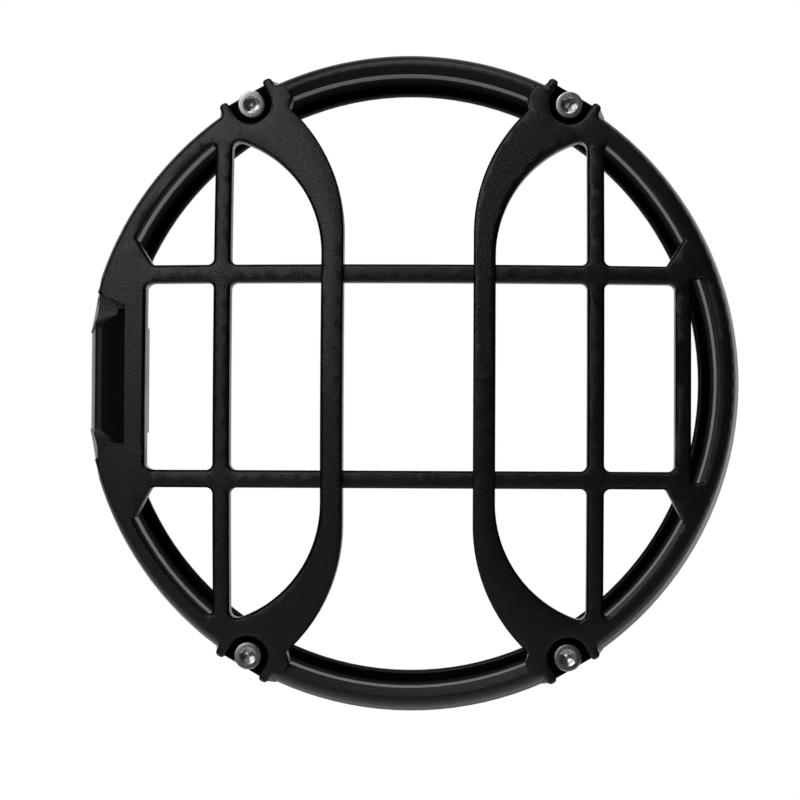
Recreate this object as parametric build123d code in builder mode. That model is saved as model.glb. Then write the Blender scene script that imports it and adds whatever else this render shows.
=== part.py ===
"""Motorcycle headlight guard: one moulded plastic grille with a deep rim, held by four socket cap screws.

Millimetres. X is right and Z is up as the rider of another bike sees it, and the front looks along -Y.
The origin is the middle of the rear mounting plane, which is y = 0.
"""

import os
from math import acos, atan2, cos, pi, radians, sin, sqrt, tan

from build123d import *

# Rim: a flared outer wall, an inner wall and a ledge at the rear, cored out from behind
RIM_DEPTH = 26.0  # rear plane to the crown of the rim
RIM_REAR_R = 103.9
RIM_SHOULDER_R = 101.5
RIM_SHOULDER_Y = -17.0
RIM_CROWN_R = 97.3
RIM_INNER_R = 94.8
RIM_INNER_REAR_R = 94.0
RIM_WINDOW_R = 95.1  # windows of the face end just outside the inner wall
RIM_EDGE_DROP = 1.0  # how far the inner edge of the crown lies behind its top
RIM_WALL = 2.8
LEDGE_R = 91.0
LEDGE_THICKNESS = 3.0
LIP_BEVEL = 0.8
CORE_END_Y = -13.0

# Domed face
FACE_R = 99.8
FACE_RISE = 0.5  # the face stands this far before the crown of the rim
FACE_CROWN = 10.5
FACE_DEPTH = 8.0
BLADE_RISE = 2.8  # the sweeping blades stand this much further out in the middle
BLADE_MEET_R = 87.5  # radius at which blades and face run into each other
EDGE_BEVEL = 1.05  # front edges of the windows
OUTLINE_BEVEL = 0.75
TOUCH = 0.01  # edges this close lie on each other
FRONT_FACING = -0.9  # the normal of a front surface has at least this much of its length along Y
BEYOND_R = 110.0  # further out than anything goes

# Sweeping blades, seen from the front: the outer and the inner edge of one of them
BLADE_OUT_X = 26.7
BLADE_OUT_R = 37.8
BLADE_OUT_Z = 37.9
BLADE_IN_X = 19.9
BLADE_IN_R = 53.2
BLADE_IN_Z = 44.7

# Thin lattice bars
POST_X = 57.4
POST_WIDTH = 5.2
RAIL_TOP_Z = 32.3
RAIL_LOW_Z = 30.8
RAIL_WIDTH = 5.4
WINDOW_ROUND = 2.0
APEX_ROUND = 2.4

# Side plates and the windows beside them
PLATE_EDGE_X = 80.4  # left, inner edge of the plate
SIDE_BAR_X = 81.9  # right, inner edge of the bar
SIDE_BAR_WIDTH = 4.9
SLOT_R = 96.0  # outer side of the slot
SLOT_HALF_HEIGHT = 31.4
SLOT_ROUND = 1.2
NOTCH_ANGLE = 27.2  # where the slanted end of a rim window starts on the rim
NOTCH_FOOT_X = 79.2
NOTCH_ROUND = 1.2

# Screws and their bosses
SCREW_PCD = 197.0
SCREW_ANGLE = 60.0
SCREW_D = 5.0
HEAD_D = 8.5
HEAD_HEIGHT = 5.0
SOCKET_FLATS = 4.0
SOCKET_DEPTH = 2.6
THREAD_MEAN_D = 4.48  # pitch diameter of the thread, which stands in for the thread itself
THREAD_REACH = 5.0  # how far the threads stand out behind the rear plane
HOLE_D = 5.5
POCKET_R = 6.3
POCKET_FLOOR_Y = -20.0
BOSS_HALF_WIDTH = 9.2
BOSS_FLAT = 102.6  # distance of the flat outer side from the middle
EAR_R = 103.1  # the ears beside the pocket end this far from the middle
EAR_ROUND = 1.3
POCKET_CORNER_ROUND = 1.0
BOSS_REAR_HALF_WIDTH = 11.0
BOSS_REAR_FLAT = 103.6
BOSS_INNER = 92.0
BOSS_END = 12.2  # where the flat face ends beside a boss, towards the top or bottom of the rim
BLADE_END_R = 91.8  # where the inner edge of a blade turns out to the end of that face
BLADE_END_STEP = 1.8
CORNER_ROUND = 1.3
EAR_FOOT_ROUND = 2.1
EAR_CORNER_ROUND = 1.2

# Badge place on the left: a notch in the face with a ledge at each end, a well and a sloping block
TRAY_X = 87.6  # edge of the face beside it
TRAY_TOP_Z = 22.8
TRAY_LOW_Z = 20.8
TRAY_SLANT = 23.0  # degrees, ends of the notch
TRAY_ROUND = 1.2
TRAY_CORNER_ROUND = 3.4  # corners of the face at the outer ends of the notch
TRAY_LEDGE_DEPTH = 4.5  # below the face
WELL_X = 90.5
WELL_TOP_Z = 21.9
WELL_LOW_Z = 20.0
WELL_Y = -19.5
BLOCK_TOP_Z = 18.0  # its ends at the ledges, where its outer side is
BLOCK_LOW_Z = 17.8
BLOCK_SLANT = 26.0  # degrees, its ends run apart towards the face
BLOCK_DRAFT = 32.0  # degrees, its ends lean in towards the front
BLOCK_FRONT_X = 96.9
BLOCK_RIDGE_Y = -27.2
BLOCK_REAR_X = 101.8
BLOCK_FOOT_Y = -22.4  # foot of its slope, at the edge of the face
BLOCK_END_Y = -22.0  # where its ends start to lean in
BLOCK_DEPTH = 8.0  # more than it stands before that
BLOCK_ROUND = 2.0
BACK_X = 85.0  # back of the notch, behind the face
BACK_Y = -16.5
BACK_FRONT_Y = -25.8
BACK_HALF_HEIGHT = 26.0
BOX_X = 82.4  # box behind the face, seen through the window beside it
BOX_Y = -8.0
BOX_HALF_HEIGHT = 16.4
BOX_WALL = 2.6
BOX_CORE_Y = -15.0

os.makedirs("parts", exist_ok=True)

# Values that follow from the sizes above
face_edge_y = -RIM_DEPTH - FACE_RISE
face_radius = (FACE_R**2 + FACE_CROWN**2) / (2 * FACE_CROWN)
face_top_y = face_edge_y - FACE_CROWN
rail_top = (RAIL_TOP_Z - RAIL_WIDTH / 2, RAIL_TOP_Z + RAIL_WIDTH / 2)
rail_low = (RAIL_LOW_Z - RAIL_WIDTH / 2, RAIL_LOW_Z + RAIL_WIDTH / 2)
post_in = POST_X - POST_WIDTH / 2
post_out = POST_X + POST_WIDTH / 2
screw_r = SCREW_PCD / 2
reach = 2 * FACE_R  # further than anything goes


def face_y(r, behind=0.0):
    """Depth of the domed face at a distance from the axis."""
    return face_top_y + behind + face_radius - sqrt(face_radius**2 - r**2)


def face_slope(r):
    return r / sqrt(face_radius**2 - r**2)


def rails(side_z):
    """Near and far edge of the upper or the lower rail, as heights without their sign."""
    return rail_top if side_z > 0 else rail_low


def boss_point(side_x, side_z, along, outward):
    """A point beside a boss: along the rim towards the top or bottom, and outward from the axis."""
    a = radians(SCREW_ANGLE)
    x = outward * cos(a) - along * sin(a)
    z = outward * sin(a) + along * cos(a)
    return (side_x * x, side_z * z)


def on_side(side_x, side_z, *corners):
    """The same points in one of the four quarters."""
    return [(side_x * x, side_z * z) for x, z in corners]


def crossing(cx, cz, own_r, r):
    """Point where a circle that is not about the axis comes to distance r from the axis."""
    far = sqrt(cx**2 + cz**2)
    turn = atan2(cz, cx) + acos((r**2 - far**2 - own_r**2) / (2 * own_r * far))
    return (cx + own_r * cos(turn), cz + own_r * sin(turn)), turn


def nearest(builder, point):
    return builder.vertices().sort_by_distance((*point, 0))[0]


def blade_window(side_x, side_z):
    """Window between a post and the outer edge of a blade."""
    far = rails(side_z)[1]
    cx = BLADE_OUT_X + BLADE_OUT_R
    apex_z = BLADE_OUT_Z + sqrt(BLADE_OUT_R**2 - (cx - post_in) ** 2)
    turn = (pi + acos((post_in - cx) / BLADE_OUT_R)) / 2
    way = (cx + BLADE_OUT_R * cos(turn), BLADE_OUT_Z + BLADE_OUT_R * sin(turn))
    foot, apex, way, start, end = on_side(
        side_x, side_z, (post_in, far), (post_in, apex_z), way, (BLADE_OUT_X, BLADE_OUT_Z), (BLADE_OUT_X, far)
    )
    with BuildSketch() as window:
        with BuildLine():
            Line(foot, apex)
            ThreePointArc(apex, way, start)
            Line(start, end)
            Line(end, foot)
        make_face()
        fillet(nearest(window, foot), radius=WINDOW_ROUND)
        fillet(nearest(window, apex), radius=APEX_ROUND)
    return window.sketch


def rim_window(side_x, side_z):
    """Window between a post, a rail and the rim, with one slanted end."""
    far = rails(side_z)[1]
    top_turn = acos(post_out / RIM_WINDOW_R)
    end_turn = radians(NOTCH_ANGLE)
    mid_turn = (top_turn + end_turn) / 2
    foot, top, way, end, notch = on_side(
        side_x,
        side_z,
        (post_out, far),
        (post_out, RIM_WINDOW_R * sin(top_turn)),
        (RIM_WINDOW_R * cos(mid_turn), RIM_WINDOW_R * sin(mid_turn)),
        (RIM_WINDOW_R * cos(end_turn), RIM_WINDOW_R * sin(end_turn)),
        (NOTCH_FOOT_X, far),
    )
    with BuildSketch() as window:
        with BuildLine():
            Line(foot, top)
            ThreePointArc(top, way, end)
            Line(end, notch)
            Line(notch, foot)
        make_face()
        fillet(nearest(window, foot), radius=WINDOW_ROUND)
        for corner in (top, end, notch):
            fillet(nearest(window, corner), radius=NOTCH_ROUND)
    return window.sketch


def middle_window(near_x, far_x, sharp_near):
    """Window between the rails. Beside a blade its corners are sharp."""
    low, high = -rail_low[0], rail_top[0]
    with BuildSketch() as window:
        with BuildLine():
            Polyline((near_x, low), (far_x, low), (far_x, high), (near_x, high), close=True)
        make_face()
        corners = [(far_x, low), (far_x, high)]
        if not sharp_near:
            corners += [(near_x, low), (near_x, high)]
        for corner in corners:
            fillet(nearest(window, corner), radius=WINDOW_ROUND)
    return window.sketch


def end_window(side_z):
    """Everything between the inner edges of the two blades, from a rail out across the rim."""
    far = rails(side_z)[1]
    cx = BLADE_IN_X + BLADE_IN_R
    (x, z), turn = crossing(cx, BLADE_IN_Z, BLADE_IN_R, BLADE_END_R)
    way_turn = (pi + turn) / 2
    way = (cx + BLADE_IN_R * cos(way_turn), BLADE_IN_Z + BLADE_IN_R * sin(way_turn))
    right = on_side(1, side_z, (BLADE_IN_X, far), (BLADE_IN_X, BLADE_IN_Z), way, (x, z))
    left = on_side(-1, side_z, (BLADE_IN_X, far), (BLADE_IN_X, BLADE_IN_Z), way, (x, z))
    right += [boss_point(1, side_z, BOSS_END, out) for out in (BLADE_END_R + BLADE_END_STEP, reach)]
    left += [boss_point(-1, side_z, BOSS_END, out) for out in (BLADE_END_R + BLADE_END_STEP, reach)]
    with BuildSketch() as window:
        with BuildLine():
            for points in (right, left):
                Line(points[0], points[1])
                ThreePointArc(points[1], points[2], points[3])
                Line(points[3], points[4])
                Line(points[4], points[5])
            Line(right[5], left[5])
            Line(right[0], left[0])
        make_face()
    return window.sketch


def slot_window():
    """Narrow window between the right-hand bar and the rim, with both ends cut short."""
    near = SIDE_BAR_X + SIDE_BAR_WIDTH
    end_x = sqrt(SLOT_R**2 - SLOT_HALF_HEIGHT**2)
    half = SLOT_HALF_HEIGHT
    corners = [(end_x, half), (near, half), (near, -half), (end_x, -half)]
    with BuildSketch() as window:
        with BuildLine():
            Polyline(*corners)
            ThreePointArc(corners[3], (SLOT_R, 0), corners[0])
        make_face()
        for corner in corners:
            fillet(nearest(window, corner), radius=SLOT_ROUND)
    return window.sketch


def centre_window():
    low, high = -rail_low[0], rail_top[0]
    with BuildSketch() as window:
        with BuildLine():
            x = BLADE_IN_X
            Polyline((-x, low), (x, low), (x, high), (-x, high), close=True)
        make_face()
    return window.sketch


def boss_slab(side_x, side_z, half_width, inner, outer):
    """Rectangle across a boss, seen from the front, between two distances from the axis."""
    corners = ((-half_width, inner), (half_width, inner), (half_width, outer), (-half_width, outer))
    with BuildSketch() as slab:
        with BuildLine():
            Polyline(*[boss_point(side_x, side_z, along, outward) for along, outward in corners], close=True)
        make_face()
    return slab.sketch


quarters = [(-1, 1), (1, 1), (-1, -1), (1, -1)]
windows = [blade_window(*q) for q in quarters] + [rim_window(*q) for q in quarters]
windows += [end_window(1), end_window(-1), centre_window(), slot_window()]
windows += [middle_window(side * BLADE_OUT_X, side * post_in, True) for side in (-1, 1)]
windows += [middle_window(-post_out, -PLATE_EDGE_X, False), middle_window(post_out, SIDE_BAR_X, False)]

# The blades, seen from the front, as far out as they stand before the face
out_cx = BLADE_OUT_X + BLADE_OUT_R
in_cx = BLADE_IN_X + BLADE_IN_R
(out_end, out_turn) = crossing(out_cx, BLADE_OUT_Z, BLADE_OUT_R, BLADE_MEET_R)
(in_end, in_turn) = crossing(in_cx, BLADE_IN_Z, BLADE_IN_R, BLADE_MEET_R)
out_mid = (pi + out_turn) / 2
in_mid = (pi + in_turn) / 2
out_way = (out_cx + BLADE_OUT_R * cos(out_mid), BLADE_OUT_Z + BLADE_OUT_R * sin(out_mid))
in_way = (in_cx + BLADE_IN_R * cos(in_mid), BLADE_IN_Z + BLADE_IN_R * sin(in_mid))
end_mid = (atan2(out_end[1], out_end[0]) + atan2(in_end[1], in_end[0])) / 2
end_way = (BLADE_MEET_R * cos(end_mid), BLADE_MEET_R * sin(end_mid))

with BuildSketch() as blade_outline:
    for side in (-1, 1):
        with BuildLine():
            for end in (-1, 1):
                start, way, stop = on_side(side, end, (BLADE_OUT_X, BLADE_OUT_Z), out_way, out_end)
                ThreePointArc(start, way, stop)
                start, way, stop = on_side(side, end, (BLADE_IN_X, BLADE_IN_Z), in_way, in_end)
                ThreePointArc(start, way, stop)
                ThreePointArc(*on_side(side, end, out_end, end_way, in_end))
            Line(*on_side(side, 1, (BLADE_OUT_X, BLADE_OUT_Z), (BLADE_OUT_X, -BLADE_OUT_Z)))
            Line(*on_side(side, 1, (BLADE_IN_X, BLADE_IN_Z), (BLADE_IN_X, -BLADE_IN_Z)))
        make_face()

# The bosses, seen from the front
bosses = [boss_slab(*q, BOSS_HALF_WIDTH, BOSS_INNER, BOSS_FLAT) for q in quarters]
boss_feet = [boss_slab(*q, BOSS_REAR_HALF_WIDTH, BOSS_INNER, BOSS_REAR_FLAT) for q in quarters]
ears = [boss_slab(*q, BOSS_HALF_WIDTH, BOSS_INNER, EAR_R) for q in quarters]
pocket_mouths = [boss_slab(*q, POCKET_R, screw_r, BEYOND_R) for q in quarters]
screw_places = [boss_point(*q, 0, screw_r) for q in quarters]

# The face, seen from the front: a disc with four bosses, less the windows
with BuildSketch() as face_outline:
    Circle(FACE_R)
    for ear in ears:
        add(ear)
    with Locations(*screw_places):
        Circle(POCKET_R, mode=Mode.SUBTRACT)
    for air in windows + pocket_mouths:
        add(air, mode=Mode.SUBTRACT)
    add(blade_outline.sketch, mode=Mode.SUBTRACT)
    for z in (RAIL_TOP_Z, -RAIL_LOW_Z):
        with Locations((0, z)):
            Rectangle(2 * BLADE_OUT_X + 1, RAIL_WIDTH)
    for q in quarters:
        foot_v = sqrt(FACE_R**2 - BOSS_HALF_WIDTH**2)
        for u in (-BOSS_HALF_WIDTH, BOSS_HALF_WIDTH):
            fillet(nearest(face_outline, boss_point(*q, u, EAR_R)), radius=EAR_ROUND)
        for u in (-POCKET_R, POCKET_R):
            fillet(nearest(face_outline, boss_point(*q, u, EAR_R)), radius=POCKET_CORNER_ROUND)
        fillet(nearest(face_outline, boss_point(*q, -BOSS_HALF_WIDTH, foot_v)), radius=EAR_FOOT_ROUND)
        fillet(nearest(face_outline, boss_point(*q, BOSS_HALF_WIDTH, foot_v)), radius=EAR_CORNER_ROUND)
        for end_v in (sqrt(FACE_R**2 - BOSS_END**2), BLADE_END_R + BLADE_END_STEP):
            fillet(nearest(face_outline, boss_point(*q, BOSS_END, end_v)), radius=CORNER_ROUND)

# The blades: a domed strip that runs out into the face
meet_y = face_y(BLADE_MEET_R)
handle = BLADE_MEET_R / 3
blade_top_y = face_top_y - BLADE_RISE
back_y = face_y(BEYOND_R, FACE_DEPTH)
with BuildPart() as blades:
    with BuildSketch(Plane.XZ):
        add(blade_outline.sketch)
    extrude(amount=reach)
    with BuildSketch(Plane.XY):
        with BuildLine():
            Bezier(
                (0, blade_top_y),
                (handle, blade_top_y),
                (BLADE_MEET_R - handle, meet_y - handle * face_slope(BLADE_MEET_R)),
                (BLADE_MEET_R, meet_y),
            )
            Polyline((BLADE_MEET_R, meet_y), (BEYOND_R, meet_y), (BEYOND_R, back_y))
            RadiusArc((BEYOND_R, back_y), (0, face_top_y + FACE_DEPTH), face_radius)
            Line((0, face_top_y + FACE_DEPTH), (0, blade_top_y))
        make_face()
    revolve(axis=Axis.Y, mode=Mode.INTERSECT)


# The badge place, seen from the front: its straight sides, then the face around it with round corners
slant = tan(radians(TRAY_SLANT)) * (BEYOND_R - TRAY_X)
tray_top = (-TRAY_X, TRAY_TOP_Z)
tray_low = (-TRAY_X, -TRAY_LOW_Z)
with BuildSketch() as tray_outline:
    with BuildLine():
        Polyline(
            tray_top, tray_low, (-BEYOND_R, -TRAY_LOW_Z - slant), (-BEYOND_R, TRAY_TOP_Z + slant), close=True
        )
    make_face()
    for corner in (tray_top, tray_low):
        fillet(nearest(tray_outline, corner), radius=TRAY_ROUND)
with BuildSketch() as rounded_face:
    Circle(FACE_R)
    add(tray_outline.sketch, mode=Mode.SUBTRACT)
    beside_tray = rounded_face.vertices().filter_by(lambda v: v.X < -TRAY_X and abs(v.Y) > TRAY_LOW_Z)
    outer_corners = beside_tray.filter_by(lambda v: sqrt(v.X**2 + v.Y**2) > FACE_R - TOUCH)
    fillet(outer_corners, radius=TRAY_CORNER_ROUND)

# Its air: all that lies in front of its ledges
with BuildPart() as notch:
    with BuildSketch(Plane.XZ):
        Circle(FACE_R)
        add(rounded_face.sketch, mode=Mode.SUBTRACT)
        add(tray_outline.sketch)
    extrude(amount=reach)
    with BuildSketch(Plane.XY):
        with BuildLine():
            ledge_top_y = face_top_y + TRAY_LEDGE_DEPTH
            ledge_end = (BEYOND_R, face_y(BEYOND_R, TRAY_LEDGE_DEPTH))
            RadiusArc(ledge_end, (0, ledge_top_y), face_radius)
            Polyline((0, ledge_top_y), (0, -reach), (BEYOND_R, -reach), ledge_end)
        make_face()
    revolve(axis=Axis.Y, mode=Mode.INTERSECT)

# The sloping block between the two ledges, and the air outside its flat outer side
block_lean = BLOCK_DEPTH * tan(radians(BLOCK_DRAFT))


def block_front(lean):
    """The block seen from the front, with its ends leaning in this far."""
    ends = []
    for end_x in (-BEYOND_R, 0):
        spread = tan(radians(BLOCK_SLANT)) * (end_x + BLOCK_FRONT_X) - lean
        ends.append(((end_x, BLOCK_TOP_Z + spread), (end_x, -BLOCK_LOW_Z - spread)))
    with BuildSketch() as front:
        with BuildLine():
            Polyline(ends[0][0], ends[1][0], ends[1][1], ends[0][1], close=True)
        make_face()
    return front.sketch


with BuildPart() as block:
    with BuildSketch(Plane.XZ.offset(-BLOCK_END_Y)):
        add(block_front(0))
    with BuildSketch(Plane.XZ.offset(BLOCK_DEPTH - BLOCK_END_Y)):
        add(block_front(block_lean))
    loft()
    with BuildSketch(Plane.XZ):
        add(block_front(0))
    extrude(amount=-BLOCK_END_Y)
    with BuildSketch(Plane.XY) as block_outline:
        with BuildLine():
            Polyline(
                (-BLOCK_REAR_X, 0),
                (-BLOCK_FRONT_X, BLOCK_RIDGE_Y),
                (-TRAY_X, BLOCK_FOOT_Y),
                (-TRAY_X, BACK_Y - BLOCK_ROUND),
                (-RIM_WINDOW_R, CORE_END_Y),
                (-RIM_WINDOW_R, 0),
                close=True,
            )
        make_face()
        fillet(nearest(block_outline, (-BLOCK_FRONT_X, BLOCK_RIDGE_Y)), radius=BLOCK_ROUND)
    extrude(amount=reach, both=True, mode=Mode.INTERSECT)
with BuildPart() as block_side:
    with BuildSketch(Plane.XZ):
        add(block_front(0))
    extrude(amount=-BLOCK_END_Y)
    with BuildSketch(Plane.XY):
        with BuildLine():
            side_line = ((-BLOCK_REAR_X, 0), (-BLOCK_FRONT_X, BLOCK_RIDGE_Y))
            Polyline(*side_line, (-BEYOND_R, BLOCK_RIDGE_Y), (-BEYOND_R, 0), close=True)
        make_face()
    extrude(amount=reach, both=True, mode=Mode.INTERSECT)


def boss_place(point):
    """Where a point seen from the front lies beside its boss: along the rim, and outward."""
    a = radians(SCREW_ANGLE)
    x, z = abs(point.X), abs(point.Z)
    return z * cos(a) - x * sin(a), x * cos(a) + z * sin(a)


def on_outline(edge):
    """True on the outer edge of the face, round the pockets and on the inner edges of the blades."""
    middle = edge @ 0.5
    x, z = abs(middle.X), abs(middle.Z)
    along, outward = boss_place(middle)
    on_blade_arc = abs(sqrt((x - in_cx) ** 2 + (z - BLADE_IN_Z) ** 2) - BLADE_IN_R) < TOUCH
    on_blade_side = abs(x - BLADE_IN_X) < TOUCH
    beside_boss = along > BOSS_HALF_WIDTH and outward > BLADE_END_R - BLADE_END_STEP
    outside = sqrt(x**2 + z**2) > FACE_R - EAR_ROUND / 2
    at_pocket = abs(along) < POCKET_R + TOUCH and outward > screw_r - POCKET_R - TOUCH
    return outside or beside_boss or at_pocket or on_blade_arc or on_blade_side


def at_crossing(edge):
    """True where the end of a rail meets the side of a blade."""
    x = abs((edge @ 0.5).X)
    on_blade = min(abs(x - BLADE_IN_X), abs(x - BLADE_OUT_X)) < TOUCH
    return on_blade and edge.length < RAIL_WIDTH + WINDOW_ROUND


def front_edges(part):
    """Edges between the domed front surfaces and the walls that go back from them."""
    curved = part.faces().filter_by(lambda f: f.geom_type != GeomType.PLANE)
    front = curved.filter_by(lambda f: f.normal_at(f.center()).Y < FRONT_FACING)
    walls = part.faces().filter_by(lambda f: f not in front)
    return front.edges().filter_by(lambda e: e in walls.edges() and not at_crossing(e))


with BuildPart() as guard:
    # Domed face with its windows
    with BuildSketch(Plane.XZ):
        add(face_outline.sketch)
    extrude(amount=reach)
    with BuildSketch(Plane.XY):
        with BuildLine():
            RadiusArc((BEYOND_R, face_y(BEYOND_R)), (0, face_top_y), face_radius)
            RadiusArc((BEYOND_R, back_y), (0, face_top_y + FACE_DEPTH), face_radius)
            Line((0, face_top_y), (0, face_top_y + FACE_DEPTH))
            Line((BEYOND_R, face_y(BEYOND_R)), (BEYOND_R, back_y))
        make_face()
    revolve(axis=Axis.Y, mode=Mode.INTERSECT)
    add(blades.part)
    chamfer(front_edges(guard).filter_by(lambda e: not on_outline(e)), length=EDGE_BEVEL)
    chamfer(front_edges(guard).filter_by(on_outline), length=OUTLINE_BEVEL)

    # Rim, cored out from behind
    with BuildSketch(Plane.XY) as rim_profile:
        with BuildLine():
            Line((LEDGE_R, 0), (RIM_REAR_R, 0))
            Line((RIM_REAR_R, 0), (RIM_SHOULDER_R, RIM_SHOULDER_Y))
            EllipticalCenterArc(
                (RIM_CROWN_R, RIM_SHOULDER_Y),
                RIM_SHOULDER_R - RIM_CROWN_R,
                RIM_DEPTH + RIM_SHOULDER_Y,
                start_angle=270,
                arc_size=90,
            )
            inner_edge = (RIM_INNER_R, RIM_EDGE_DROP - RIM_DEPTH)
            inner_foot = (RIM_INNER_REAR_R, -LEDGE_THICKNESS)
            lip = (LEDGE_R, -LEDGE_THICKNESS)
            Polyline((RIM_CROWN_R, -RIM_DEPTH), inner_edge, inner_foot, lip, (LEDGE_R, 0))
        make_face()
        chamfer(nearest(rim_profile, lip), length=LIP_BEVEL)
        with BuildLine():
            core_share = CORE_END_Y / RIM_SHOULDER_Y
            Polyline(
                (RIM_REAR_R - RIM_WALL, 0),
                (RIM_REAR_R - RIM_WALL - core_share * (RIM_REAR_R - RIM_SHOULDER_R), CORE_END_Y),
                (RIM_INNER_R + RIM_WALL, CORE_END_Y),
                (RIM_INNER_REAR_R + RIM_WALL, 0),
                close=True,
            )
        make_face(mode=Mode.SUBTRACT)
    revolve(axis=Axis.Y)

    # Bosses behind the face, wider at their feet
    for boss, foot in zip(bosses, boss_feet):
        with BuildSketch(Plane.XZ.offset(-POCKET_FLOOR_Y)):
            add(boss)
        with BuildSketch(Plane.XZ):
            add(foot)
        loft()

    # Pockets that are open outward, and holes for the screws
    with BuildSketch(Plane.XZ.offset(-POCKET_FLOOR_Y)):
        with Locations(*screw_places):
            Circle(POCKET_R)
        for mouth in pocket_mouths:
            add(mouth)
    extrude(amount=reach, mode=Mode.SUBTRACT)
    with BuildSketch(Plane.XZ):
        with Locations(*screw_places):
            Circle(HOLE_D / 2)
    extrude(amount=reach, mode=Mode.SUBTRACT)

    # Behind the badge place: a full rim, a back plate and a box with an open core
    with BuildSketch(Plane.XZ):
        Circle(RIM_REAR_R - RIM_WALL / 2)
        Circle(RIM_INNER_R + RIM_WALL / 2, mode=Mode.SUBTRACT)
        with Locations((-reach / 2, 0)):
            Rectangle(reach, 2 * BACK_HALF_HEIGHT, mode=Mode.INTERSECT)
    extrude(amount=RIM_WALL - CORE_END_Y - RIM_WALL / 2)
    with BuildSketch(Plane.XZ.offset(-BACK_Y)):
        Circle(RIM_WINDOW_R)
        with Locations((-BACK_X - reach / 2, 0)):
            Rectangle(reach, 2 * BACK_HALF_HEIGHT, mode=Mode.INTERSECT)
    extrude(amount=BACK_Y - BACK_FRONT_Y)
    with BuildSketch(Plane.XZ.offset(-BOX_Y)):
        Circle(RIM_WINDOW_R)
        with Locations((-BOX_X - reach / 2, 0)):
            Rectangle(reach, 2 * BOX_HALF_HEIGHT, mode=Mode.INTERSECT)
    extrude(amount=BOX_Y - BACK_FRONT_Y)
    with BuildSketch(Plane.XZ.offset(-BOX_Y)):
        with Locations((-(BOX_X + RIM_INNER_REAR_R) / 2, 0)):
            Rectangle(RIM_INNER_REAR_R - BOX_X - 2 * BOX_WALL, 2 * (BOX_HALF_HEIGHT - BOX_WALL))
    extrude(amount=BOX_Y - BOX_CORE_Y, mode=Mode.SUBTRACT)

    # The badge place itself
    add(notch.part, mode=Mode.SUBTRACT)
    add(block_side.part, mode=Mode.SUBTRACT)
    with BuildSketch(Plane.XZ.offset(-WELL_Y)):
        with Locations((-(WELL_X + TRAY_X) / 2, (WELL_TOP_Z - WELL_LOW_Z) / 2)):
            Rectangle(WELL_X - TRAY_X, WELL_TOP_Z + WELL_LOW_Z)
    extrude(amount=reach, mode=Mode.SUBTRACT)
    add(block.part)
guard.part.label = "guard_moulding"

# Four socket cap screws, heads in the pockets and threads out behind
with BuildPart() as screws:
    head_end_y = POCKET_FLOOR_Y - HEAD_HEIGHT
    with BuildSketch(Plane.XZ.offset(-POCKET_FLOOR_Y)):
        with Locations(*screw_places):
            Circle(HEAD_D / 2)
    extrude(amount=HEAD_HEIGHT)
    with BuildSketch(Plane.XZ.offset(-head_end_y)):
        with Locations(*screw_places):
            RegularPolygon(SOCKET_FLATS / 2, 6, major_radius=False)
    extrude(amount=-SOCKET_DEPTH, mode=Mode.SUBTRACT)
    with BuildSketch(Plane.XZ):
        with Locations(*screw_places):
            Circle(SCREW_D / 2)
    extrude(amount=-POCKET_FLOOR_Y)
    with BuildSketch(Plane.XZ):
        with Locations(*screw_places):
            Circle(THREAD_MEAN_D / 2)
    extrude(amount=-THREAD_REACH)
screws.part.label = "cap_screws"

export_step(guard.part, "parts/guard_moulding.step")
export_step(screws.part, "parts/cap_screws.step")
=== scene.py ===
"""Motorcycle headlight guard: its finishes, its screws, the studio and the camera."""

from math import cos, pi, radians, sin

import bmesh
import bpy
from mathutils import Matrix, Quaternion, Vector


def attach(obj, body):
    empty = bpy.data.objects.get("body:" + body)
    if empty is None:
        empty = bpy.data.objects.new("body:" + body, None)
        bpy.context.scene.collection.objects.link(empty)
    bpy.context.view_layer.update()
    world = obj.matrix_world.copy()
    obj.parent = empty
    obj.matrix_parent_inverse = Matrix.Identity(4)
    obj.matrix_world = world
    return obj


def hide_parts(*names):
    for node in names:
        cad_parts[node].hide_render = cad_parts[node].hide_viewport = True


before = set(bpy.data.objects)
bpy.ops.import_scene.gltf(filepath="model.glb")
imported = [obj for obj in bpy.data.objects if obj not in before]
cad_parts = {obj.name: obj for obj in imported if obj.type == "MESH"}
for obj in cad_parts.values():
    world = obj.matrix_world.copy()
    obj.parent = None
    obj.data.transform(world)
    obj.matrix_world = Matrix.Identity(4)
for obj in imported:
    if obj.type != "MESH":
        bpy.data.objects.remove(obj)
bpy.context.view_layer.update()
MM = 0.001

# The screws' distance from the axis, and their direction from the horizontal
SCREW_R = 98.5 * MM
SCREW_ANGLE = radians(60)

# Inside of the rim, behind the walls of the face, which gets painted shade
RIM_DARK_Y = -18.3 * MM
RIM_LIT_Y = -1.0 * MM
LIP_R = 91.9 * MM
RIM_CORE_R = 96.3 * MM

# Inside of the pockets, round the screws and out to the rim, which also gets painted shade
POCKET_R = 6.4 * MM
POCKET_DARK_Y = -25.2 * MM
POCKET_OPEN_R = 102.2 * MM

# Texture of the plastic: cells per metre, its height, and how squarely a surface has to face
# the front for the grain to begin and to be full
GRAIN_SCALE = 3000.0
PIT_SCALE = 1700.0
CLOUD_SCALE = 120.0
GRAIN_HEIGHT = 0.22 * MM
GRAIN_FROM = 0.35
GRAIN_FULL = 0.8

# Texture of the steel
MARK_SCALE = 2600.0
STAIN_SCALE = 700.0
MARK_HEIGHT = 0.04 * MM


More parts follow.
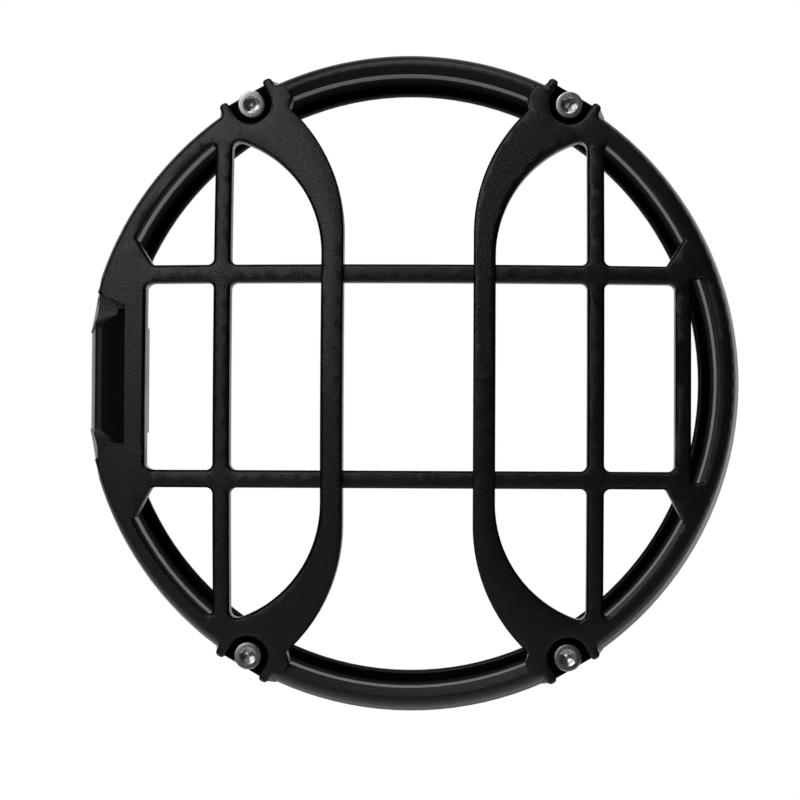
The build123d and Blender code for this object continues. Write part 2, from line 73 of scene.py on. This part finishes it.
class Wire:
    """A shader socket that takes part in arithmetic."""

    def __init__(self, finish, socket):
        self.finish = finish
        self.socket = socket

    def __add__(self, other):
        return self.finish.maths("ADD", self, other)

    def __radd__(self, other):
        return self.finish.maths("ADD", other, self)

    def __sub__(self, other):
        return self.finish.maths("SUBTRACT", self, other)

    def __rsub__(self, other):
        return self.finish.maths("SUBTRACT", other, self)

    def __mul__(self, other):
        return self.finish.maths("MULTIPLY", self, other)

    def __rmul__(self, other):
        return self.finish.maths("MULTIPLY", other, self)


class Finish:
    """The nodes of a material or of the world."""

    def __init__(self, owner):
        owner.use_nodes = True
        self.owner = owner
        self.tree = owner.node_tree
        self.tree.nodes.clear()

    def node(self, kind, settings=None, sockets=None, out=0):
        """One node: its settings first, then the values or links of its sockets."""
        made = self.tree.nodes.new(kind)
        for name, value in (settings or {}).items():
            setattr(made, name, value)
        for name, value in (sockets or {}).items():
            if isinstance(value, Wire):
                self.tree.links.new(value.socket, made.inputs[name])
            else:
                made.inputs[name].default_value = value
        return Wire(self, made.outputs[out]) if made.outputs else made

    def maths(self, operation, *values):
        return self.node("ShaderNodeMath", {"operation": operation}, dict(enumerate(values)))

    def over(self, value, limit):
        """1 where the value is over the limit, otherwise 0."""
        return self.maths("GREATER_THAN", value, limit)

    def axes(self, vector):
        """The three components of a vector."""
        return [self.node("ShaderNodeSeparateXYZ", None, {0: vector}, axis) for axis in "XYZ"]

    def noise(self, place, scale, detail, roughness=0.5):
        sockets = {"Vector": place, "Scale": scale, "Detail": detail, "Roughness": roughness}
        return self.node("ShaderNodeTexNoise", None, sockets)

    def bump(self, height, distance, strength):
        return self.node(
            "ShaderNodeBump", None, {"Height": height, "Distance": distance, "Strength": strength}
        )

    def ramp(self, value, start, end, low=0.0, high=1.0):
        """From low at the start to high at the end, eased at both."""
        sockets = {"Value": value, "From Min": start, "From Max": end}
        sockets |= {"To Min": low, "To Max": high}
        return self.node("ShaderNodeMapRange", {"interpolation_type": "SMOOTHSTEP"}, sockets)

    def shader(self, **sockets):
        """A Principled surface. Underscores in the names stand for spaces."""
        named = {name.replace("_", " "): value for name, value in sockets.items()}
        return self.node("ShaderNodeBsdfPrincipled", None, named)


def moulded_plastic():
    """Black plastic: grained in front, smooth on its walls, with painted shade in the rim and the
    pockets.
    """
    f = Finish(bpy.data.materials.new("black_plastic"))
    place = f.node("ShaderNodeTexCoord", out="Object")
    facing = f.node("ShaderNodeTexCoord", out="Normal")
    x, y, z = f.axes(place)

    front = f.ramp(0.0 - f.axes(facing)[1], GRAIN_FROM, GRAIN_FULL)
    grain = f.noise(place, GRAIN_SCALE, 2.0)
    pits = f.noise(place, PIT_SCALE, 1.0)
    cloud = f.noise(place, CLOUD_SCALE, 3.0)
    satin = f.shader(
        Base_Color=(0.004, 0.004, 0.0042, 1.0),
        Roughness=0.32 + front * 0.04 + cloud * 0.06,
        Specular_IOR_Level=0.5,
        Normal=f.bump((grain * 0.6 + pits * 0.4) * front, GRAIN_HEIGHT, 1.0),
    )
    # Painted shade: a near-black plastic that barely mirrors anything, standing in for the shadow
    # inside the rim and the pockets
    painted_shade = f.shader(Base_Color=(0.002, 0.002, 0.002, 1.0), Roughness=0.7, Specular_IOR_Level=0.04)

    # The rim's inside lies in a ring about the axis
    distance = f.maths("SQRT", x * x + z * z)
    rim_shade_mask = f.over(y, RIM_DARK_Y) * f.over(RIM_LIT_Y, y)
    rim_shade_mask = rim_shade_mask * f.over(distance, LIP_R) * f.over(RIM_CORE_R, distance)

    # The four pockets are alike: along the rim and outward from the axis, in any quarter
    across = f.maths("ABSOLUTE", x)
    upward = f.maths("ABSOLUTE", z)
    along = f.maths("ABSOLUTE", upward * cos(SCREW_ANGLE) - across * sin(SCREW_ANGLE))
    outward = across * cos(SCREW_ANGLE) + upward * sin(SCREW_ANGLE)
    pocket_shade_mask = f.over(y, POCKET_DARK_Y) * f.over(POCKET_R, along)
    pocket_shade_mask = pocket_shade_mask * f.over(outward, SCREW_R - POCKET_R) * f.over(POCKET_OPEN_R, outward)

    # Where the painted shade takes the place of the grained plastic
    painted_shade_mask = f.maths("MAXIMUM", rim_shade_mask, pocket_shade_mask)
    surface = f.node("ShaderNodeMixShader", None, {0: painted_shade_mask, 1: satin, 2: painted_shade})
    f.node("ShaderNodeOutputMaterial", None, {"Surface": surface})
    return f.owner


def turned_steel():
    """Bright stainless steel with fine marks of turning and handling."""
    f = Finish(bpy.data.materials.new("screw_steel"))
    place = f.node("ShaderNodeTexCoord", out="Object")
    marks = f.noise(place, MARK_SCALE, 3.0, roughness=0.6)
    stains = f.noise(place, STAIN_SCALE, 2.0)
    surface = f.shader(
        Base_Color=(0.66, 0.66, 0.67, 1.0),
        Metallic=1.0,
        Roughness=0.22 + stains * 0.16,
        Normal=f.bump(marks, MARK_HEIGHT, 0.2),
    )
    f.node("ShaderNodeOutputMaterial", None, {"Surface": surface})
    return f.owner


def keep_mesh(bm, name):
    """A finished bmesh as a piece of the scene."""
    mesh = bpy.data.meshes.new(name)
    bm.to_mesh(mesh)
    bm.free()
    piece = bpy.data.objects.new(name, mesh)
    bpy.context.scene.collection.objects.link(piece)
    return piece


def shade_smooth(bm, sharp_angle):
    """Smooth shading, but for edges that bend by this angle or more."""
    for face in bm.faces:
        face.smooth = True
    for edge in bm.edges:
        edge.smooth = edge.calc_face_angle(pi) < sharp_angle


def dress(piece, material):
    piece.data.materials.append(material)


black_plastic = moulded_plastic()
screw_steel = turned_steel()

# The moulding is a copy of the solid's own surface, with its bevels shaded as rounds.
# Beside the badge place the rim's wall is drawn in, from this far left and this far forward.
WALL_NEAR_X = 91.5 * MM
WALL_FRONT_Y = -22.6 * MM
WALL_FRONT_R = 98.9 * MM
WALL_REAR_R = 103.1 * MM
WALL_END_Z = 31 * MM
WALL_BLEND = 9 * MM  # over this height the wall returns to the full circle
BOX_Z = 17.4 * MM
BOX_FRONT_X = 97.8 * MM
BOX_REAR_X = 102.2 * MM

# Edge of the plate beside the left outer window, with its round corners
PLATE_NEAR_X = 78.2 * MM
PLATE_FAR_X = 81.6 * MM
PLATE_ROUND = 2.1 * MM
PLATE_END_Z = 29.8 * MM
PLATE_SHIFT = 0.8 * MM

MERGE = 0.002 * MM
GUARD_SHARP = radians(50)
ROUNDING = 95  # weight of the large faces in the shading of the bevels


def draw_in(x, y, z):
    """The rim's wall beside the badge place: flat along the badge box, round above and below it."""
    back = (y - WALL_FRONT_Y) / -WALL_FRONT_Y
    if abs(z) < BOX_Z:
        return max(x, -BOX_FRONT_X - (BOX_REAR_X - BOX_FRONT_X) * back), z
    wall_r = WALL_FRONT_R + (WALL_REAR_R - WALL_FRONT_R) * back
    full = 1 - min(1, wall_r / Vector((x, z)).length)
    factor = 1 - full * min(1, (WALL_END_Z - abs(z)) / WALL_BLEND)
    return x * factor, z * factor


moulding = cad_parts["guard_moulding"]
bm = bmesh.new()
bm.from_mesh(moulding.data)
for vert in bm.verts:
    x, y, z = vert.co
    if x < -WALL_NEAR_X and y > WALL_FRONT_Y and abs(z) < WALL_END_Z:
        vert.co.x, vert.co.z = draw_in(x, y, z)
    if PLATE_NEAR_X < -x < PLATE_FAR_X and abs(z) < PLATE_END_Z:
        vert.co.x -= PLATE_SHIFT * min(1, (-x - PLATE_NEAR_X) / PLATE_ROUND)
bmesh.ops.remove_doubles(bm, verts=bm.verts, dist=MERGE)
bmesh.ops.dissolve_degenerate(bm, edges=bm.edges, dist=MERGE)
shade_smooth(bm, GUARD_SHARP)
guard = keep_mesh(bm, "guard")
rounds = guard.modifiers.new("rounded_edges", "WEIGHTED_NORMAL")
rounds.keep_sharp = True
rounds.weight = ROUNDING
dress(guard, black_plastic)
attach(guard, "root")
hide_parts("guard_moulding")

# Socket cap screws, each modelled upright with the underside of its head at zero
SEAT_Y = -20 * MM
HEAD_R = 4.25 * MM
HEAD_HEIGHT = 5 * MM
HEAD_ROUND = 0.45 * MM
HEAD_FOOT_BEVEL = 0.15 * MM
SOCKET_R = 2.0 * MM / cos(pi / 6)
SOCKET_DEPTH = 2.6 * MM
MOUTH_R = 2.62 * MM
MOUTH_DEPTH = 0.3 * MM
DRILL_STEP = 0.05 * MM
DRILL_DEPTH = 0.8 * MM
DRILL_SHARE = 0.82  # of the hexagon, at the upper end of the drilled bottom
DRILL_TIP_SHARE = 0.12
SHANK_R = 2.5 * MM
SHANK_END = -18 * MM
TIP = -25 * MM
TIP_BEVEL = 0.3 * MM
RUN_OUT = 0.4 * MM
THREAD_DEPTH = 0.45 * MM
THREAD_ROOT = 0.1 * MM  # how deep the ridge goes into the core
THREAD_GAP = 0.5 * MM
THREAD_START = SHANK_END - THREAD_GAP
PITCH = 0.8 * MM
ROOT_HALF = 0.34 * PITCH
CREST_HALF = 0.06 * PITCH
STEPS = 48
ROUND_STEPS = 4
THREAD_STEPS = 32
SCREW_SHARP = radians(24)
SCREW_TURNS = (((-1, 1), 38), ((1, 1), 50), ((-1, -1), 75), ((1, -1), 126))  # quarter, degrees


def ring_on(bm, edges, factor, height):
    """Walls from a loop of edges to its copy, scaled about the axis and moved to a height."""
    grown = bmesh.ops.extrude_edge_only(bm, edges=edges)["geom"]
    for vert in (v for v in grown if isinstance(v, bmesh.types.BMVert)):
        vert.co = Vector((vert.co.x * factor, vert.co.y * factor, height))
    return [e for e in grown if isinstance(e, bmesh.types.BMEdge)]


def loop_at(bm, corners, radius, height, cuts=0):
    """A closed loop of edges about the axis, with each side cut further."""
    known = set(bm.edges)
    raised = Matrix.Translation((0, 0, height))
    bmesh.ops.create_circle(bm, segments=corners, radius=radius, matrix=raised)
    if cuts:
        bmesh.ops.subdivide_edges(bm, edges=[e for e in bm.edges if e not in known], cuts=cuts)
    return [e for e in bm.edges if e not in known]


def head_and_shank(core_r):
    """Radius and height of each ring, from the flat of the head over its edge to the tip."""
    path = []
    for i in range(ROUND_STEPS + 1):
        a = i / ROUND_STEPS * pi / 2
        path.append((HEAD_R - HEAD_ROUND * (1 - sin(a)), HEAD_HEIGHT - HEAD_ROUND * (1 - cos(a))))
    path += [(HEAD_R, HEAD_FOOT_BEVEL), (HEAD_R - HEAD_FOOT_BEVEL, 0)]
    path += [(SHANK_R, 0), (SHANK_R, SHANK_END), (core_r, SHANK_END - RUN_OUT)]
    path += [(core_r, TIP + TIP_BEVEL), (core_r - TIP_BEVEL, TIP)]
    return path


def wind_thread(bm, core_r):
    """A ridge wound round the core, closed at both ends."""
    ridge = [
        (core_r - THREAD_ROOT, -ROOT_HALF),
        (SHANK_R, -CREST_HALF),
        (SHANK_R, CREST_HALF),
        (core_r - THREAD_ROOT, ROOT_HALF),
    ]
    verts = [bm.verts.new((radius, 0, THREAD_START + height)) for radius, height in ridge]
    edges = [bm.edges.new((verts[i - 1], verts[i])) for i in range(len(verts))]
    bm.faces.new(verts)
    turns = (THREAD_START - TIP - THREAD_GAP) / PITCH
    steps = int(turns * THREAD_STEPS)
    wound = bmesh.ops.spin(
        bm,
        geom=verts + edges,
        cent=(0, 0, 0),
        axis=(0, 0, 1),
        dvec=(0, 0, -turns * PITCH / steps),
        angle=turns * 2 * pi,
        steps=steps,
        use_duplicate=False,
    )
    end = [v for v in wound["geom_last"] if isinstance(v, bmesh.types.BMVert)]
    bmesh.ops.contextual_create(bm, geom=end)


def cap_screw():
    bm = bmesh.new()
    core_r = SHANK_R - THREAD_DEPTH
    hexagon = loop_at(bm, 6, SOCKET_R, HEAD_HEIGHT - MOUTH_DEPTH, STEPS // 6 - 1)
    mouth = loop_at(bm, STEPS, MOUTH_R, HEAD_HEIGHT)

    loop, r = mouth, MOUTH_R
    for radius, height in head_and_shank(core_r):
        loop = ring_on(bm, loop, radius / r, height)
        r = radius
    bmesh.ops.contextual_create(bm, geom=loop)

    # Hexagon socket with a turned mouth and a drilled bottom
    bmesh.ops.bridge_loops(bm, edges=mouth + hexagon)
    bottom = HEAD_HEIGHT - SOCKET_DEPTH
    loop = ring_on(bm, hexagon, 1.0, bottom)
    loop = ring_on(bm, loop, DRILL_SHARE, bottom - DRILL_STEP)
    loop = ring_on(bm, loop, DRILL_TIP_SHARE, bottom - DRILL_DEPTH)
    bmesh.ops.contextual_create(bm, geom=loop)

    wind_thread(bm, core_r)
    bmesh.ops.recalc_face_normals(bm, faces=bm.faces)
    upright = bpy.data.meshes.new("cap_screw")
    bm.to_mesh(upright)
    bm.free()
    return upright


upright = cap_screw()
bm = bmesh.new()
for (side_x, side_z), turn in SCREW_TURNS:
    place = (side_x * SCREW_R * cos(SCREW_ANGLE), SEAT_Y, side_z * SCREW_R * sin(SCREW_ANGLE))
    lying = Matrix.Rotation(pi / 2, 4, "X") @ Matrix.Rotation(radians(turn), 4, "Z")
    seated = upright.copy()
    seated.transform(Matrix.Translation(place) @ lying)
    bm.from_mesh(seated)
shade_smooth(bm, SCREW_SHARP)
screws = keep_mesh(bm, "screws")
dress(screws, screw_steel)
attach(screws, "root")
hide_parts("cap_screws")

# Floor: pale paper that the camera sees mostly as a glow, so that its shadow stays light
FLOOR_HALF = 0.9
FLOOR_MIDDLE = (0, 0.45, -0.36)
FLOOR_GLOW = 0.6
bm = bmesh.new()
bmesh.ops.create_grid(bm, x_segments=1, y_segments=1, size=FLOOR_HALF)
bmesh.ops.translate(bm, verts=bm.verts, vec=FLOOR_MIDDLE)
floor = keep_mesh(bm, "floor")
pale = Finish(bpy.data.materials.new("pale_floor"))
paper = pale.shader(Base_Color=(0.8, 0.8, 0.8, 1.0), Roughness=0.7)
glow = pale.node("ShaderNodeEmission", None, {"Color": (0.95, 0.95, 0.95, 1.0)})
seen = pale.node("ShaderNodeLightPath", out="Is Camera Ray") * FLOOR_GLOW
surface = pale.node("ShaderNodeMixShader", None, {0: seen, 1: paper, 2: glow})
pale.node("ShaderNodeOutputMaterial", None, {"Surface": surface})
floor.data.materials.append(pale.owner)

# Background: white to the eye. Surfaces mirror it as white only straight behind the guard.
BEHIND_FROM = 0.70
BEHIND_FULL = 0.97
MIRRORED_LOW = 0.02
MIRRORED_HIGH = 0.95
ROOM_LIGHT = 0.12
studio = bpy.data.worlds.new("studio")
bpy.context.scene.world = studio
room = Finish(studio)
direction = room.node("ShaderNodeTexCoord", out="Generated")
behind = room.ramp(room.axes(direction)[1], BEHIND_FROM, BEHIND_FULL, MIRRORED_LOW, MIRRORED_HIGH)
seen = room.node("ShaderNodeLightPath", out="Is Camera Ray")
glossy = room.node("ShaderNodeLightPath", out="Is Glossy Ray")
mirrored = glossy + room.node("ShaderNodeLightPath", out="Is Transmission Ray")
strength = seen + (1.0 - seen) * (mirrored * behind + (1.0 - mirrored) * ROOM_LIGHT)
white = {"Color": (1.0, 1.0, 1.0, 1.0), "Strength": strength}
glow = room.node("ShaderNodeBackground", None, white)
room.node("ShaderNodeOutputWorld", None, {"Surface": glow})


def aimed(thing, name, place, turn):
    """An object for a lamp or a camera, turned by a quaternion."""
    stand = bpy.data.objects.new(name, thing)
    stand.location = place
    stand.rotation_mode = "QUATERNION"
    stand.rotation_quaternion = turn
    bpy.context.scene.collection.objects.link(stand)
    return stand


def soft_lamp(name, place, size, power):
    """A rectangular lamp that shines at the middle of the guard."""
    lamp = bpy.data.lights.new(name, "AREA")
    lamp.shape = "RECTANGLE"
    lamp.size, lamp.size_y = size
    lamp.energy = power
    aimed(lamp, name, place, (-Vector(place)).to_track_quat("-Z", "Y"))


soft_lamp("front_lamp", (-0.85, -1.45, 0.7), (1.5, 1.5), 7)
soft_lamp("key_lamp", (-0.8, -1.0, 1.0), (0.8, 0.8), 5)
soft_lamp("top_lamp", (0.1, -0.15, 1.4), (1.2, 0.8), 6)

# Camera at the photograph's viewing angle
AIM = Vector((0, -0.026, 0))
DISTANCE = 0.85
AZIMUTH = radians(1.5)
ELEVATION = radians(-2.0)
ROLL = Quaternion((0, 0, 1), radians(0.27))
back = Vector((sin(AZIMUTH) * cos(ELEVATION), -cos(AZIMUTH) * cos(ELEVATION), sin(ELEVATION)))
lens = bpy.data.cameras.new("camera")
lens.lens = 124.0
lens.sensor_width = 36
lens.shift_x = -0.0109
lens.shift_y = -0.0254
lens.clip_start = 0.01
lens.clip_end = 50
view_turn = (-back).to_track_quat("-Z", "Y") @ ROLL
bpy.context.scene.camera = aimed(lens, "camera", AIM + back * DISTANCE, view_turn)
bpy.context.scene.view_settings.view_transform = "Standard"
